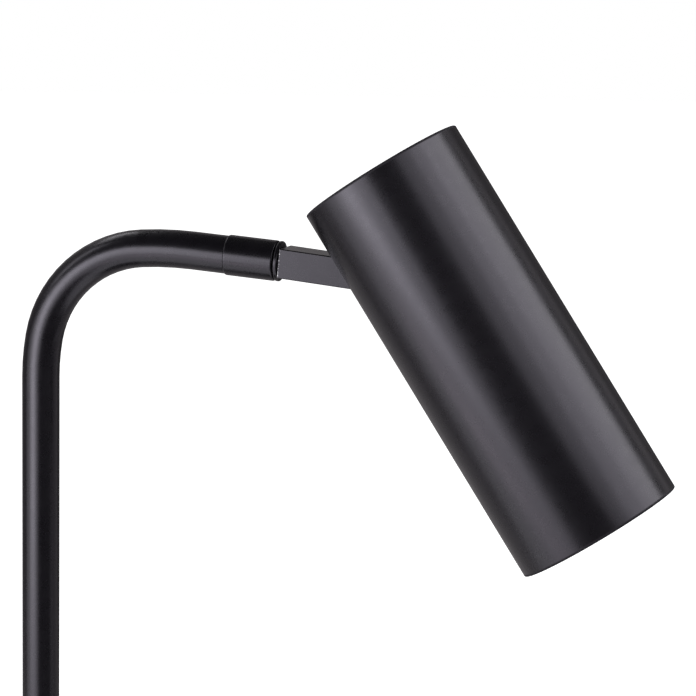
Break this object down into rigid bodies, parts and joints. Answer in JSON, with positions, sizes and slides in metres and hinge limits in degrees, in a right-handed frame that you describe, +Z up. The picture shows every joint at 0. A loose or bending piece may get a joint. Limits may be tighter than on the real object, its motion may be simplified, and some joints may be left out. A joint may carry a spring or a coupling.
{
  "type": "piano lamp",
  "caption": "Piano lamp: round weighted base with push button, bent tube stem, and a long cylindrical spot shade that swivels and tilts on a flat bar.",
  "frame": {"origin": "centre of the felt's underside, on the stem's axis", "axes": "+Z up the stem, +X along the arm towards the shade, Y across the lamp"},
  "size_m": [0.3123, 0.18, 0.4305],
  "materials": {
    "black_paint": "satin",
    "cast_iron": "matte",
    "zinc_steel": "satin",
    "spring_steel": "satin",
    "felt": "matte",
    "black_plastic": "matte",
    "button_plastic": "satin",
    "brass": "satin",
    "fibre": "matte",
    "ceramic": "matte",
    "bulb_white": "satin",
    "lens": "gloss",
    "lead_sleeve": "matte"
  },
  "bodies": {
    "base": {"base_cover": "black_paint", "base_weight": "cast_iron", "base_plate": "zinc_steel", "felt_pad": "felt", "base_plate_screws": "zinc_steel", "cord_inlet_bush": "black_plastic", "cord_inlet_nut": "black_plastic", "stem_foot": "black_paint", "stem_washer": "zinc_steel", "stem_nut": "zinc_steel", "stem_tube": "black_paint", "arm_socket": "black_paint", "stop_pin": "spring_steel", "switch_body": "black_plastic", "switch_nut": "black_paint", "button_spring": "spring_steel", "switch_lugs": "brass", "lamp_leads": "lead_sleeve"},
    "button": {"push_button": "button_plastic"},
    "head": {"swivel_core": "black_paint", "swivel_washer": "spring_steel", "swivel_nut": "brass", "head_bar": "black_paint", "friction_washers": "fibre", "pivot_spring_washers": "spring_steel", "pivot_screws": "zinc_steel"},
    "shade": {"tilt_bracket": "zinc_steel", "shade_tube": "black_paint", "shade_cap": "black_paint", "cap_nuts": "zinc_steel", "lampholder": "ceramic", "holder_screws": "zinc_steel", "bulb_body": "bulb_white", "bulb_lens": "lens", "bulb_pins": "brass"}
  },
  "joints": [
    {"name": "head_swivel", "type": "hinge", "parent": "base", "child": "head", "pos_m": [0.08459, 0, 0.38344], "axis": [0.9968, 0, -0.0802], "range_deg": [-165, 165], "deforming": ["lamp_leads"]},
    {"name": "shade_tilt", "type": "hinge", "parent": "head", "child": "shade", "pos_m": [0.119, 0, 0.37988], "axis": [0, 1, 0], "range_deg": [-15, 60], "deforming": ["lamp_leads"]},
    {"name": "button_press", "type": "slide", "parent": "base", "child": "button", "axis": [0, 0, -1], "range_m": [0, 0.0025], "stiffness_N_per_m": 500, "springref_m": -0.003, "deforming": ["button_spring"]}
  ]
}
